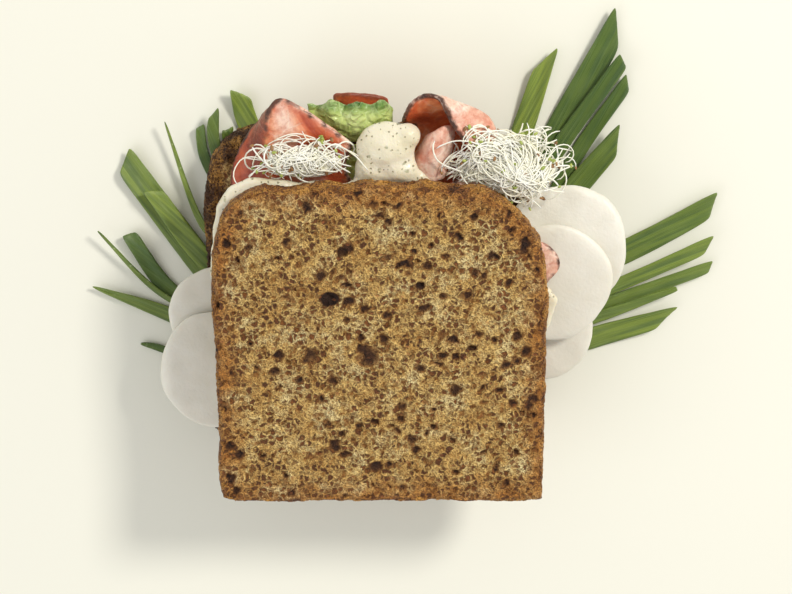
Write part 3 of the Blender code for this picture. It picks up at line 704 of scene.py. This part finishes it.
def make_blade(node, material):
    """A blade whose map runs across and along it, in mm, for its veins."""
    bm = merged_copy(node)
    rim = sharp_points(bm, BLADE_EDGE_ANGLE)
    start, ahead = blade_axis(bm)
    bm = subdivided(bm, 2, node + "_soft")
    distances = edge_distances(rim, bm.verts)
    layer = bm.loops.layers.uv.new("blade")
    for face in bm.faces:
        for loop in face.loops:
            offset = Vector((loop.vert.co.x, loop.vert.co.y)) - start
            across = offset.x * ahead.y - offset.y * ahead.x
            loop[layer].uv = (across / MM, offset.dot(ahead) / MM)
    piece = add_piece(node + "_blade", bm, material, node)
    write_attribute(piece.data, "edge", distances)
    write_attribute(piece.data, "tone", [BLADE_TONES.get(node, DARK_BLADE)] * len(distances))


def towards(vert, direction):
    """1 where the vertex looks in the direction, 0 square to it and -1 the other way."""
    return vert.normal.dot(Vector(direction).normalized())


def facing(vert, node):
    """How far the vertex belongs to the rare red side of its slice of meat, from 0 to 1; that side
    is partly painted shade.
    """
    if node in FOLD_CENTRES:
        centre = Vector(FOLD_CENTRES[node])
        place = vert.co / MM
        centre.y = min(place.y, centre.y)
        return smoothstep(-0.15, 0.2, towards(vert, centre - place))
    if node in RARE_AND_SHADED_SIDES:
        return smoothstep(-0.15, 0.4, towards(vert, RARE_AND_SHADED_SIDES[node]))
    return 0.0


def painted_shade(vert, node):
    """How much painted shade, as the darkest red, the vertex has: most where it squarely faces its
    slice's rare red side.
    """
    if node not in SHADE_DEPTH:
        return 0.0
    return SHADE_DEPTH[node] * smoothstep(0.45, 0.85, towards(vert, RARE_AND_SHADED_SIDES[node]))


def make_sheet(node, material, slot):
    """A leaf or a slice of meat, smoothed and finely ruffled, that knows how far its edge is."""
    ruffle, ruffle_scale = RUFFLES[slot]
    bm = merged_copy(node)
    rim = sharp_points(bm, SHEET_EDGE_ANGLE)
    bm = subdivided(bm, 2, node + "_soft")
    bm.normal_update()
    distances = edge_distances(rim, bm.verts)
    rare_and_shaded = [facing(vert, node) for vert in bm.verts]
    # painted shade, strongest on the flank of beef_left
    deep = [painted_shade(vert, node) for vert in bm.verts]
    for vert in bm.verts:
        wave = noise.noise(vert.co / MM * ruffle_scale) * ruffle
        vert.co += vert.normal * (wave * 0.5) * MM
    piece = add_piece(node + "_sheet", bm, material, node)
    write_attribute(piece.data, "edge", distances)
    if slot == "beef":
        write_attribute(piece.data, "rare_and_shaded", rare_and_shaded)
        write_attribute(piece.data, "deep", deep)
        write_attribute(piece.data, "roasted", [ROASTED.get(node, 1.0)] * len(rare_and_shaded))


def make_mayonnaise(material):
    """The spread and its dollop, without a sharp edge and gently swirled."""
    bm = remeshed(merged_copy("mayonnaise"), SPREAD_CELL, "mayonnaise_grid")
    for _ in range(SPREAD_SMOOTHING):
        bmesh.ops.smooth_vert(
            bm, verts=bm.verts, factor=0.5, use_axis_x=True, use_axis_y=True, use_axis_z=True)
    bm.normal_update()
    for vert in bm.verts:
        place = vert.co / MM
        swirl = noise.noise(Vector((place.x * 0.16, place.y * 0.3, place.z * 0.3))) * 0.4
        vert.co += vert.normal * (swirl - 0.1) * MM
    add_piece("mayonnaise_spread", bm, material, "mayonnaise")


# Sprouts

def tuft_core(node, material):
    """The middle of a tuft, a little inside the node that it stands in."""
    centre, radii = (Vector(values) for values in TUFTS[node][:2])
    bm = bmesh.new()
    bmesh.ops.create_icosphere(bm, subdivisions=4, radius=1.0)
    for vert in bm.verts:
        place = centre + vert.co * radii * CORE_SCALE
        vert.co = (place + vert.co * noise.noise(place * 0.7) * 0.4) * MM
    return add_piece(node + "_core", bm, material, None)


def ray_tree(items):
    """The objects' surfaces as one tree for casting rays."""
    points = []
    faces = []
    for item in items:
        start = len(points)
        points.extend(vert.co.copy() for vert in item.data.vertices)
        faces.extend([start + index for index in face.vertices] for face in item.data.polygons)
    return BVHTree.FromPolygons(points, faces)


TOP_SLICE = ray_tree([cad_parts["bread_top"]])  # which no sprout passes through


def strand_tubes(name, routes, rng):
    """Thin closed tubes along the routes, which are in mm, as one bmesh."""
    curve = bpy.data.curves.new(name, "CURVE")
    curve.dimensions = "3D"
    curve.bevel_depth = STRAND_RADIUS * MM
    curve.bevel_resolution = 1
    curve.use_fill_caps = True
    for route in routes:
        line = curve.splines.new("POLY")
        line.points.add(len(route) - 1)
        thickness = rng.uniform(0.65, 1.1)
        for number, (knot, point) in enumerate(zip(line.points, route)):
            end = number in (0, len(route) - 1)
            knot.co = (*(point * MM), 1.0)
            knot.radius = thickness * (0.6 if end else 1.0)
    bm = evaluated(place_object(name, curve))
    bmesh.ops.remove_doubles(bm, verts=bm.verts, dist=STRAND_MERGE_DISTANCE)
    bmesh.ops.recalc_face_normals(bm, faces=bm.faces)
    return bm


def seeds_at(places, rng):
    """Small flattened seeds at the places, which are in mm, as one bmesh."""
    ball = bmesh.new()
    bmesh.ops.create_icosphere(ball, subdivisions=2, radius=1.0)
    shape = mesh_from(ball, "seed")
    seeds = bmesh.new()
    for place in places:
        size = rng.uniform(0.45, 0.75)
        turn = Euler((rng.uniform(-0.4, 0.4), rng.uniform(-0.4, 0.4), rng.uniform(0.0, math.pi)))
        stretch = Vector((size * 1.5, size * 0.9, size * 0.7)) * MM
        copy = shape.copy()
        copy.transform(Matrix.LocRotScale(place * MM, turn, stretch))
        seeds.from_mesh(copy)
        bpy.data.meshes.remove(copy)
    return seeds


def bed_height(spot, tree):
    """The height of what lies below the spot, in mm."""
    start = BELOW_SLICE if under_bread(spot) else ABOVE_ALL
    hit = tree.ray_cast(Vector((spot.x, spot.y, start)) * MM, DOWN)
    ground = hit[0].z / MM if hit[0] else 0.0
    return max(ground, LOWEST_BED)


def strand_route(rng, tree, centre, reach, lift, lie):
    """A sprout that curls over what lies below it, as points in mm."""
    around = rng.uniform(0.0, 2 * math.pi)
    far = math.sqrt(rng.random()) * 0.9
    spot = Vector((
        centre[0] + reach[0] * far * math.cos(around),
        centre[1] + reach[1] * far * math.sin(around),
    ))
    heading = lie + rng.gauss(0.0, 1.1)
    turn = rng.choice((-1, 1))
    first_curl = turn * rng.uniform(-0.04, 0.14)
    last_curl = turn * rng.choice((0.05, 0.15, 0.3, 0.6))
    steps = rng.randint(8, 20)
    layer = rng.random() ** 1.5 * lift
    bow = rng.uniform(0.2, 1.8)
    flat = []
    for number in range(steps):
        flat.append(spot.copy())
        curl = first_curl + (last_curl - first_curl) * number / steps
        heading += curl + rng.uniform(-0.12, 0.12)
        spot = spot + Vector((math.cos(heading), math.sin(heading))) * STRAND_STEP
    heights = []
    for number, spot in enumerate(flat):
        bowed = bow * math.sin(math.pi * number / (steps - 1))
        heights.append(bed_height(spot, tree) + STRAND_RADIUS + layer + bowed)
    heights = bridged(heights)
    return [Vector((spot.x, spot.y, height)) for spot, height in zip(flat, heights)]


def wrapped_routes(rng, node):
    """Sprouts that lie round the core of a tuft, down to its underside, as points in mm."""
    centre, radii = (Vector(values) for values in TUFTS[node][:2])
    routes = []
    while len(routes) < WRAPPED[node]:
        first = Vector((rng.gauss(0.0, 1.0), rng.gauss(0.0, 1.0), rng.gauss(-0.3, 0.7)))
        first.normalize()
        other = Vector((rng.gauss(0.0, 1.0), rng.gauss(0.0, 1.0), rng.gauss(0.0, 1.0)))
        second = first.cross(other).normalized()
        arc = rng.uniform(0.7, 2.0)
        route = []
        for number in range(WRAP_STEPS):
            angle = arc * number / (WRAP_STEPS - 1)
            spot = first * math.cos(angle) + second * math.sin(angle)
            route.append(centre + spot * radii * WRAP_SCALE)
        if not any(in_bread(point) for point in route):
            routes.append(route)
    return routes


def bridged(heights):
    """The heights with no drop steeper than a sprout can bend."""
    steps = len(heights)
    forward = range(1, steps)
    for number in forward:
        heights[number] = max(heights[number], heights[number - 1] - STEEPEST * STRAND_STEP)
    for number in reversed(forward):
        heights[number - 1] = max(heights[number - 1], heights[number] - STEEPEST * STRAND_STEP)
    for _ in range(3):
        heights = [
            max(heights[k], (heights[max(k - 1, 0)] + heights[min(k + 1, steps - 1)]) / 2)
            for k in range(steps)
        ]
    return heights


def under_bread(spot):
    """Whether the top slice, with a small margin, lies over the spot."""
    for side_x, side_y in ((0, 0), (1, 0), (-1, 0), (0, 1), (0, -1)):
        x, y = spot.x + side_x * SLICE_MARGIN, spot.y + side_y * SLICE_MARGIN
        if TOP_SLICE.ray_cast(Vector((x, y, ABOVE_ALL)) * MM, DOWN)[0]:
            return True
    return False


def in_bread(point):
    """Whether the point lies in the top slice, or too close below it."""
    return under_bread(point) and point.z > LOW_ENOUGH


def within(route, centre, reach, stray):
    """Whether the whole sprout lies on its ragged patch, and none of it in the top slice."""
    for point in route:
        offset = Vector(((point.x - centre[0]) / reach[0], (point.y - centre[1]) / reach[1], 0.0))
        ragged = 1.0 + 0.45 * noise.noise(offset.normalized() * 1.8 + Vector((centre[0], 0.0, 0.0)))
        if offset.length > ragged * stray or in_bread(point):
            return False
    return True


def make_tuft(node, tree, pale, seed_coats):
    """Loose sprouts over the tuft's bed and round its core, with a seed at the end of some."""
    _, _, centre, reach, lift, lie, count, seed = TUFTS[node]
    rng = random.Random(seed)
    routes = []
    while len(routes) < count:
        route = strand_route(rng, tree, centre, reach, lift, lie)
        if within(route, centre, reach, rng.choice((0.9, 1.1, 1.1, 1.45))):
            routes.append(route)
    routes.extend(wrapped_routes(rng, node))
    tubes = strand_tubes(node + "_tubes", routes, rng)
    add_piece(node + "_strands", tubes, pale, node)
    heads = [route[-1] for route in routes if rng.random() < SEED_SHARE]
    for number, coat in enumerate(seed_coats):
        seeds = seeds_at(heads[number::len(seed_coats)], rng)
        add_piece("%s_seeds_%d" % (node, number), seeds, coat, None)


# Room, light and camera

def make_room():
    """A plain pale floor and even light from all round."""
    bm = bmesh.new()
    bmesh.ops.create_grid(bm, x_segments=1, y_segments=1, size=FLOOR_SIZE)
    bmesh.ops.translate(bm, vec=(0.0, 0.0, FLOOR_Z), verts=bm.verts)
    floor = place_object("floor", mesh_from(bm, "floor"))
    floor.data.materials.append(floor_material())
    world = bpy.data.worlds.new("room")
    world.use_nodes = True
    background = world.node_tree.nodes["Background"]
    background.inputs["Color"].default_value = ROOM_COLOUR
    background.inputs["Strength"].default_value = ROOM_STRENGTH
    bpy.context.scene.world = world
    bpy.context.scene.view_settings.view_transform = "Standard"


def make_lights():
    for name, (place, width, power, colour) in LIGHTS.items():
        data = bpy.data.lights.new(name, "AREA")
        data.shape = "DISK"
        data.size = width
        data.energy = power
        data.color = colour
        light = place_object(name, data)
        light.location = place
        light.rotation_euler = (LIGHT_TARGET - Vector(place)).to_track_quat("-Z", "Y").to_euler()


def make_camera():
    data = bpy.data.cameras.new("camera")
    data.lens = CAMERA_LENS
    data.sensor_width = CAMERA_SENSOR
    camera = place_object("camera", data)
    away = Vector((0.0, math.sin(CAMERA_LEAN), math.cos(CAMERA_LEAN)))
    camera.location = LOOK_AT + away * CAMERA_DISTANCE
    camera.rotation_euler = (-CAMERA_LEAN, 0.0, 0.0)
    bpy.context.scene.camera = camera


def make_sprouts():
    """Both tufts, whose loose sprouts lie on all that is modelled below them."""
    white = [(0.3, (0.90, 0.88, 0.72)), (0.7, (0.96, 0.96, 0.90))]
    green = [(0.3, (0.22, 0.30, 0.05)), (0.7, (0.45, 0.50, 0.12))]
    brown = [(0.3, (0.16, 0.07, 0.025)), (0.7, (0.38, 0.20, 0.07))]
    # painted shade: the packed core is greyer than the loose strands, as the shade inside a tuft
    shaded = [(0.35, (0.62, 0.60, 0.44)), (0.65, (0.90, 0.89, 0.78))]
    strands = sprout_material("sprout_strand", white, 0.3)
    coats = [
        sprout_material("sprout_seed_leaf", green, 0.4),
        sprout_material("sprout_seed_husk", brown, 0.45),
    ]
    packed = sprout_material("sprout_core", shaded, 0.5)
    cores = [tuft_core(node, packed) for node in sorted(TUFTS)]
    below = [item for name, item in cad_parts.items() if name not in TUFTS]
    tree = ray_tree(below + cores)
    for node in sorted(TUFTS):
        make_tuft(node, tree, strands, coats)


def build():
    make_groups()
    make_camera()
    make_room()
    make_lights()

    bread = bread_material()
    for node in BREAD_SEEDS:
        make_bread(node, bread)
    white = cheese_material()
    leek = leek_material()
    meat = beef_material()
    salad = lettuce_material()
    for node in sorted(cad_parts):
        if node.startswith("cheese_"):
            make_cheese(node, white)
        elif node.startswith("leek_"):
            make_blade(node, leek)
        elif node.startswith("beef_"):
            make_sheet(node, meat, "beef")
        elif node.startswith("lettuce"):
            make_sheet(node, salad, "lettuce")
    make_mayonnaise(mayonnaise_material())
    make_sprouts()


build()
